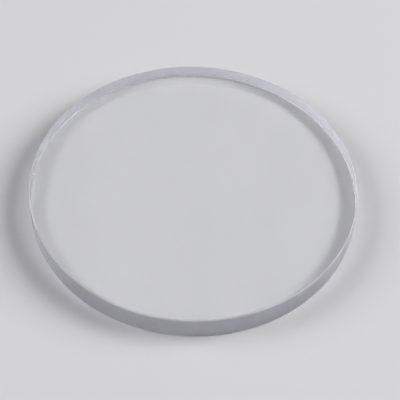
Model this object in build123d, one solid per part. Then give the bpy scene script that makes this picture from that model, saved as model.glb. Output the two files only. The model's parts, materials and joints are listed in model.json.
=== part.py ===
from build123d import *
import os

# A clear round glass plate: two flat polished faces, and a rim ground matt all the way round.
#
# Millimetres, +Z up. The origin is the centre of the lower face, and Z is the plate's own axis.
# The plate is one solid of glass. Nothing is mounted on it and nothing in it moves.

PLATE_DIAMETER = 120.0    # across the ground rim
PLATE_THICKNESS = 10.0    # from one polished face to the other
ARRIS_LEG = 0.4           # how far the 45 degree arris is ground back along the face and down the rim


def ground_plate(diameter, thickness, arris_leg):
    """The round blank standing on its lower face, with the edge of both faces ground to a small chamfer."""
    blank = Cylinder(diameter / 2, thickness, align=(Align.CENTER, Align.CENTER, Align.MIN))
    face_edges = blank.edges().filter_by(GeomType.CIRCLE)
    return chamfer(face_edges, arris_leg)


glass_disc = ground_plate(PLATE_DIAMETER, PLATE_THICKNESS, ARRIS_LEG)

os.makedirs("parts", exist_ok=True)
export_step(glass_disc, "parts/glass_disc.step")
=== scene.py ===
"""The looks of a watch glass: a thick flat round plate of clear glass, polished on both faces.

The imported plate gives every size. Its one visible piece is modelled here as a closed mesh with three
finishes: polished faces, a rim ground matt, and the narrow ground arrises with the small flakes that
handling knocks out.
"""

import json
import math
import random

import bmesh
import bpy
from mathutils import Matrix, Vector, noise


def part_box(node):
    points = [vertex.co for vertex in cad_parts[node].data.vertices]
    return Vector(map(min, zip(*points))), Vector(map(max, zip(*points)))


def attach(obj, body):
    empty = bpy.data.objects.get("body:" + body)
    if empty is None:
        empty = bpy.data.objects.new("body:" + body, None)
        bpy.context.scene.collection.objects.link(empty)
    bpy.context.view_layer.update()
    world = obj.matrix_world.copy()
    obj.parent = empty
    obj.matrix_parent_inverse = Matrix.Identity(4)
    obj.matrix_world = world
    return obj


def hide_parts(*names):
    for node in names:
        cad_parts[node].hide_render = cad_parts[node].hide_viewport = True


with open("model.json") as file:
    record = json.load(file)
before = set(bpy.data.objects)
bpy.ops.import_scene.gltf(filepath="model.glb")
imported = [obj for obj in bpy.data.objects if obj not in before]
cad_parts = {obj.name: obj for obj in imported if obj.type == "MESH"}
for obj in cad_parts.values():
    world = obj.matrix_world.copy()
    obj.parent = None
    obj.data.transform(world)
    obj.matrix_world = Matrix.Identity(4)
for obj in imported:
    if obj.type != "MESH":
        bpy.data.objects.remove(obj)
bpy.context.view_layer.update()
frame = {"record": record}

MM = 0.001

# The plate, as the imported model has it.
plate_low, plate_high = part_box("glass_disc")
RADIUS = (plate_high.x - plate_low.x) / 2
THICKNESS = plate_high.z - plate_low.z
mounts = {mount["name"]: mount for mount in frame["record"]["mounts"]}
RIM_HEIGHT = mounts["rim"]["dims"]["length_mm"] * MM
ARRIS_LEG = (THICKNESS - RIM_HEIGHT) / 2

MIDDLE_HEIGHT = (plate_low.z + plate_high.z) / 2


# --- Shader building ------------------------------------------------------------------------------

class Signal:
    """What one shader socket gives out. Arithmetic on signals adds Math nodes."""

    def __init__(self, look, socket):
        self.look = look
        self.socket = socket

    def _maths(self, operation, first, second):
        return self.look.node("ShaderNodeMath", {"operation": operation}, {0: first, 1: second})

    def __add__(self, other):
        return self._maths("ADD", self, other)

    def __radd__(self, other):
        return self._maths("ADD", other, self)

    def __sub__(self, other):
        return self._maths("SUBTRACT", self, other)

    def __rsub__(self, other):
        return self._maths("SUBTRACT", other, self)

    def __mul__(self, other):
        return self._maths("MULTIPLY", self, other)

    def __rmul__(self, other):
        return self._maths("MULTIPLY", other, self)


class Look:
    """The nodes of a material, or of the world, under construction."""

    def __init__(self, owner):
        self.owner = owner
        self.owner.use_nodes = True
        self.tree = self.owner.node_tree
        self.tree.nodes.clear()

    def node(self, kind, settings=None, sockets=None, output=0):
        """Adds a node: its settings first, then a value or a signal for each socket.

        Gives back the output asked for, or None from a node that has no outputs.
        """
        made = self.tree.nodes.new(kind)
        for name, value in (settings or {}).items():
            setattr(made, name, value)
        for name, value in (sockets or {}).items():
            if isinstance(value, Signal):
                self.tree.links.new(value.socket, made.inputs[name])
            else:
                made.inputs[name].default_value = value
        return Signal(self, made.outputs[output]) if made.outputs else None

    def place(self, stretch=(1, 1, 1)):
        """The point being shaded, in its object's own metres, times a factor along each axis.

        A factor below 1 draws the patterns laid on it out along that axis.
        """
        own = self.node("ShaderNodeTexCoord", output="Object")
        return self.node("ShaderNodeVectorMath", {"operation": "MULTIPLY"}, {0: own, 1: stretch})

    def cloud(self, place, size, detail=2.0):
        """Soft noise from 0 to 1, whose blotches are about size metres across."""
        return self.node("ShaderNodeTexNoise", {}, {"Vector": place, "Scale": 1 / size, "Detail": detail})

    def between(self, signal, low, high):
        """Spreads the part of a signal between low and high over 0 to 1, and holds it there beyond."""
        return self.node("ShaderNodeMapRange", {}, {"Value": signal, "From Min": low, "From Max": high})

    def blend(self, share, first, second):
        """The first colour where share is 0, and the second where it is 1."""
        return self.node("ShaderNodeMix", {"data_type": "RGBA"}, {0: share, 6: first, 7: second}, output=2)

    def bumps(self, height, depth):
        """A surface normal roughened by height, from 0 to 1, over a real depth in metres."""
        return self.node("ShaderNodeBump", {}, {"Height": height, "Distance": depth, "Strength": 1.0})

    def distance_from_axis(self):
        """How far the point being shaded lies from its object's upright axis, in metres."""
        across = self.place((1, 1, 0))
        return self.node("ShaderNodeVectorMath", {"operation": "LENGTH"}, {0: across}, output="Value")

    def height(self):
        """How high the point being shaded lies, in its object's own metres."""
        own = self.node("ShaderNodeTexCoord", output="Object")
        return self.node("ShaderNodeSeparateXYZ", {}, {0: own}, output="Z")

    def straight_look(self):
        """1 where the camera sees this directly, or only off and through glass.

        It is 0 for the light that falls on things.
        """
        camera, gloss, through = (
            self.node("ShaderNodeLightPath", output=f"Is {kind} Ray")
            for kind in ("Camera", "Glossy", "Transmission")
        )
        seen = self.node("ShaderNodeMath", {"operation": "ADD", "use_clamp": True}, {
            0: camera + gloss,
            1: through,
        })
        scatterings = self.node("ShaderNodeLightPath", output="Diffuse Depth")
        return seen * self.node("ShaderNodeMath", {"operation": "LESS_THAN"}, {0: scatterings, 1: 0.5})

    def principled(self, sockets):
        """The general surface shader."""
        return self.node("ShaderNodeBsdfPrincipled", {}, sockets)

    def end_in(self, shader):
        """Ends the nodes in a shader, and gives back the finished material or world."""
        kind = "World" if isinstance(self.owner, bpy.types.World) else "Material"
        self.node(f"ShaderNodeOutput{kind}", {}, {"Surface": shader})
        return self.owner


# --- Finishes of the glass ------------------------------------------------------------------------

GLASS_IOR = 1.52              # clear crown glass
FINISHES = ["polished", "ground_rim", "ground_arris"]

CLEAR = (0.985, 0.985, 0.99, 1)
WIPED = (0.955, 0.955, 0.97, 1)
SMEAR_SIZE = 18 * MM

RIM_LIGHT = (0.86, 0.85, 0.935, 1)
RIM_DARK = (0.74, 0.73, 0.82, 1)
ARRIS_LIGHT = (0.94, 0.93, 0.98, 1)
ARRIS_DARK = (0.84, 0.83, 0.92, 1)
GROUND_TRANSMISSION = 0.85    # the share of its light that ground glass lets through
LINE_SIZE = 0.14 * MM         # marks along the way the wheel ran
STROKE_SIZE = 0.5 * MM        # marks across it
CLOUD_SIZE = 5 * MM
PAINTED_HIGHLIGHT_BAND = 0.7 * MM          # how far the painted highlight along each edge of the rim fades in
# the near-white of the painted highlight along the rim's edges and over the arrises
PAINTED_HIGHLIGHT_WHITE = (0.96, 0.95, 0.99, 1)


def polished_glass():
    """Clear polished faces, with the faintest haze left by a wiping cloth."""
    finish = Look(bpy.data.materials.new("polished_glass"))
    wipe = finish.cloud(finish.place((1, 0.35, 1)), SMEAR_SIZE, detail=4.0)
    haze = finish.between(wipe, 0.45, 0.8)
    return finish.end_in(finish.principled({
        "Base Color": finish.blend(haze, CLEAR, WIPED),
        "Roughness": 0.004 + 0.02 * haze,
        "Transmission Weight": 1.0,
        "IOR": GLASS_IOR,
    }))


def ground_glass(name, light, dark, grain_size, depth):
    """Glass ground matt: a fine grain, marks along and across the way the wheel ran, soft clouding, and a
    painted highlight along the rim's edges and over the arrises.
    """
    finish = Look(bpy.data.materials.new(name))
    lines = finish.cloud(finish.place((0.012, 0.012, 1)), LINE_SIZE, detail=3.0)
    strokes = finish.cloud(finish.place((1, 1, 0.05)), STROKE_SIZE, detail=3.0)
    grain = finish.cloud(finish.place(), grain_size, detail=2.0)
    clouding = finish.cloud(finish.place((1, 1, 0.6)), CLOUD_SIZE, detail=5.0)
    tone = finish.between(0.5 * clouding + 0.2 * lines + 0.2 * strokes + 0.1 * grain, 0.35, 0.65)
    # Paints a near-white highlight along both edges of the rim and over the arrises, on top of the random
    # tone of the ground glass.
    tone_and_painted_highlight = finish.blend(painted_edge_highlight(finish), finish.blend(tone, dark, light), PAINTED_HIGHLIGHT_WHITE)
    return finish.end_in(finish.principled({
        "Base Color": tone_and_painted_highlight,
        "Roughness": 0.88 + 0.1 * lines,
        "Transmission Weight": GROUND_TRANSMISSION,
        "IOR": GLASS_IOR,
        "Normal": finish.bumps(0.45 * grain + 0.35 * lines + 0.2 * strokes, depth),
    }))


def painted_edge_highlight(finish):
    """0 over most of the rim, rising to 1 along its two edges and holding at 1 over the arrises: where a
    highlight is painted, the same all round.
    """
    off_middle = finish.height() - MIDDLE_HEIGHT
    from_middle = finish.node("ShaderNodeMath", {"operation": "ABSOLUTE"}, {0: off_middle})
    return finish.between(from_middle, RIM_HEIGHT / 2 - PAINTED_HIGHLIGHT_BAND, RIM_HEIGHT / 2)


# --- The plate ------------------------------------------------------------------------------------

AROUND = 2880                 # points round the rim, 0.13 mm apart
RIM_ROWS = 8
ARRIS_ROWS = 3
FACE_HALVINGS = 5             # rings of a face, each with half the points of the ring outside it
FACE_RING_SHRINK = 0.62

SMALLEST_FLAKE = 0.09         # half its width, in millimetres
FLAKE_GROWTH = 0.12           # what the rare largest flake adds to that
FLAKE_DEPTH = (0.3, 0.6)      # least and most, as a share of half its width
FLAKE_SAG = 0.8               # how far a flake hollows the arris below it, as a share of its depth

SLOW_WANDER = 0.05            # change in the arris's width, as a share of it
FINE_WANDER = 0.02
SLOW_WAVES = 3                # radius of the circle walked through the noise: larger gives shorter waves
FINE_WAVES = 400
LOWER_WANDER_SEED = 1.7
UPPER_WANDER_SEED = 5.3


def draw_flakes(count, seed):
    """Small shell-shaped flakes along one arris, as (angle, half width, depth), most of them tiny."""
    draw = random.Random(seed)
    made = []
    for _ in range(count):
        half_width = (SMALLEST_FLAKE + FLAKE_GROWTH * draw.random() ** 4) * MM
        made.append((draw.uniform(0, math.tau), half_width, half_width * draw.uniform(*FLAKE_DEPTH)))
    return made


def bite_at(angle, flakes):
    """How far the deepest flake at this angle cuts back into the face."""
    bite = 0.0
    for middle, half_width, depth in flakes:
        apart = (angle - middle + math.pi) % math.tau - math.pi
        share = apart * RADIUS / half_width
        if abs(share) < 1:
            bite = max(bite, depth * math.sqrt(1 - share * share))
    return bite


def wander(angle, waves, seed):
    """Smooth noise, from about -1 to 1, that joins up with itself round the plate."""
    return noise.noise(Vector((waves * math.cos(angle), waves * math.sin(angle), seed)))


def leg_at(angle, seed):
    """The width of an arris ground by hand, which changes a little round the plate."""
    slow = wander(angle, SLOW_WAVES, seed)
    fine = wander(angle, FINE_WAVES, seed)
    return ARRIS_LEG * (1 + SLOW_WANDER * slow + FINE_WANDER * fine)


def arris_profile(angle, seed, flakes):
    """One arris, as (radius, distance from the face), from the face out to the rim."""
    leg = leg_at(angle, seed)
    bite = bite_at(angle, flakes)
    rows = []
    for row in range(ARRIS_ROWS + 1):
        share = row / ARRIS_ROWS
        hollow = bite * (1 - share) ** 2
        sag = FLAKE_SAG * bite * share * (1 - share)
        rows.append((RADIUS - leg * (1 - share) - hollow, leg * share + sag))
    return rows


def make_plate():
    """The whole plate as one closed skin: two faces, two arrises and the rim between them."""
    skin = bmesh.new()
    lower_flakes = draw_flakes(count=60, seed=11)
    upper_flakes = draw_flakes(count=80, seed=23)
    columns = []
    for step in range(AROUND):
        angle = math.tau * step / AROUND
        lower = arris_profile(angle, LOWER_WANDER_SEED, lower_flakes)
        upper = arris_profile(angle, UPPER_WANDER_SEED, upper_flakes)
        start = lower[-1][1]
        end = THICKNESS - upper[-1][1]
        rows = list(lower)
        for row in range(1, RIM_ROWS):
            rows.append((RADIUS, start + (end - start) * row / RIM_ROWS))
        rows += [(radius, THICKNESS - depth) for radius, depth in reversed(upper)]
        columns.append([
            skin.verts.new((radius * math.cos(angle), radius * math.sin(angle), plate_low.z + height))
            for radius, height in rows
        ])

    last = len(columns[0]) - 1
    for step, column in enumerate(columns):
        following = columns[(step + 1) % AROUND]
        for row in range(last):
            face = skin.faces.new((column[row], following[row], following[row + 1], column[row + 1]))
            face.smooth = True
            on_arris = row < ARRIS_ROWS or row >= last - ARRIS_ROWS
            face.material_index = FINISHES.index("ground_arris" if on_arris else "ground_rim")

    for row, turn in ((0, True), (last, False)):
        close_face(skin, [column[row] for column in columns], turn)
    for row in (0, ARRIS_ROWS, last - ARRIS_ROWS, last):
        for step, column in enumerate(columns):
            edge = skin.edges.get((column[row], columns[(step + 1) % AROUND][row]))
            edge.smooth = False

    mesh = bpy.data.meshes.new("watch_glass_plate")
    skin.to_mesh(mesh)
    skin.free()
    return mesh


def close_face(skin, ring, turn):
    """Fills a flat face inwards from its edge, with half as many points in each ring."""
    def patch(*corners):
        face = skin.faces.new(reversed(corners) if turn else corners)
        face.material_index = FINISHES.index("polished")

    for _ in range(FACE_HALVINGS):
        inner = [
            skin.verts.new((point.co.x * FACE_RING_SHRINK, point.co.y * FACE_RING_SHRINK, point.co.z))
            for point in ring[::2]
        ]
        for step, near in enumerate(inner):
            far = inner[(step + 1) % len(inner)]
            first, middle, third = (ring[(2 * step + k) % len(ring)] for k in range(3))
            patch(first, middle, near)
            patch(near, middle, far)
            patch(middle, third, far)
        ring = inner
    patch(*ring)


def add_object(name, data):
    """Puts a mesh, lamp or camera into the scene under a name."""
    made = bpy.data.objects.new(name, data)
    bpy.context.scene.collection.objects.link(made)
    return made


plate = add_object("watch_glass_plate", make_plate())
for material in (
    polished_glass(),
    ground_glass("ground_rim", RIM_LIGHT, RIM_DARK, grain_size=0.12 * MM, depth=0.02 * MM),
    ground_glass("ground_arris", ARRIS_LIGHT, ARRIS_DARK, grain_size=0.16 * MM, depth=0.03 * MM),
):
    plate.data.materials.append(material)
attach(plate, "root")
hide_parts("glass_disc")


# --- Floor, light and camera ----------------------------------------------------------------------

FLOOR_RADIUS = 60 * RADIUS
FLOOR_GAP = 0.02 * MM         # the film of air under a plate that lies on a table
FLOOR_COLOUR = (0.58, 0.58, 0.59)
LAMP_DISTANCE = 40 * RADIUS
LAMP_WIDTH = 24 * RADIUS
BACKDROP_COLOUR = (0.62, 0.62, 0.63)
FLOOR_FADE = (2.5 * RADIUS, 14 * RADIUS)      # between these distances the floor turns into the backdrop
ROOM_LIGHT = 0.15             # the even light from all round, beside the softboxes

SENSOR_WIDTH = 36             # millimetres, and so is the lens
LENS = 111.94
CAMERA_BACK = 4.8246 * RADIUS
CAMERA_UP = 6.0154 * RADIUS
CAMERA_PAN, CAMERA_TILT, CAMERA_ROLL = -0.494, 38.744, 2.249      # degrees; no tilt looks straight down


def make_floor():
    """A wide disc of pale paint, which turns into the backdrop away from the plate."""
    skin = bmesh.new()
    bmesh.ops.create_circle(skin, cap_ends=True, segments=96, radius=FLOOR_RADIUS)
    mesh = bpy.data.meshes.new("floor")
    skin.to_mesh(mesh)
    skin.free()
    floor = add_object("floor", mesh)
    floor.location.z = plate_low.z - FLOOR_GAP
    finish = Look(bpy.data.materials.new("pale_floor"))
    paint = finish.principled({"Base Color": (*FLOOR_COLOUR, 1), "Specular IOR Level": 0.0})
    backdrop = finish.node("ShaderNodeEmission", {}, {"Color": (*BACKDROP_COLOUR, 1)})
    far = finish.node("ShaderNodeMapRange", {"interpolation_type": "SMOOTHSTEP"}, {
        "Value": finish.distance_from_axis(),
        "From Min": FLOOR_FADE[0],
        "From Max": FLOOR_FADE[1],
    })
    faded = finish.node("ShaderNodeMixShader", {}, {0: far * finish.straight_look(), 1: paint, 2: backdrop})
    floor.data.materials.append(finish.end_in(faded))


def softbox(name, azimuth, elevation, power):
    """A large square lamp aimed at the plate. Azimuth 0 is to the right of it, and 90 behind it."""
    lamp = bpy.data.lights.new(name, "AREA")
    lamp.shape = "SQUARE"
    lamp.size = LAMP_WIDTH
    lamp.energy = power
    holder = add_object(name, lamp)
    turn, lift = math.radians(azimuth), math.radians(elevation)
    away = Vector((math.cos(turn) * math.cos(lift), math.sin(turn) * math.cos(lift), math.sin(lift)))
    holder.location = away * LAMP_DISTANCE
    holder.rotation_mode = "QUATERNION"
    holder.rotation_quaternion = away.to_track_quat("Z", "Y")


def light_studio():
    """A weak even light, a softbox on each side, and a backdrop that lights nothing."""
    room = Look(bpy.data.worlds.new("studio"))
    soft_light = room.node("ShaderNodeBackground", {}, {"Color": (1, 1, 1, 1), "Strength": ROOM_LIGHT})
    backdrop = room.node("ShaderNodeBackground", {}, {"Color": (*BACKDROP_COLOUR, 1), "Strength": 1.0})
    both = room.node("ShaderNodeMixShader", {}, {0: room.straight_look(), 1: soft_light, 2: backdrop})
    bpy.context.scene.world = room.end_in(both)
    softbox("key_right", azimuth=6, elevation=34, power=74)
    softbox("fill_left", azimuth=177, elevation=34, power=38)


def set_camera():
    """Stands the camera in front of the plate and above it, looking down at it."""
    lens = bpy.data.cameras.new("camera")
    lens.sensor_width = SENSOR_WIDTH
    lens.lens = LENS
    camera = add_object("camera", lens)
    turn = Matrix.Rotation(math.radians(CAMERA_PAN), 4, "Z")
    lean = Matrix.Rotation(math.radians(CAMERA_TILT), 4, "X")
    level = Matrix.Rotation(math.radians(CAMERA_ROLL), 4, "Z")
    stand = Matrix.Translation((0, -CAMERA_BACK, CAMERA_UP))
    camera.matrix_world = stand @ turn @ lean @ level
    bpy.context.scene.camera = camera


make_floor()
light_studio()
set_camera()
bpy.context.scene.view_settings.view_transform = "Standard"
bpy.context.scene.cycles.blur_glossy = 0.0      # clear glass passes all of the light that the floor sends up
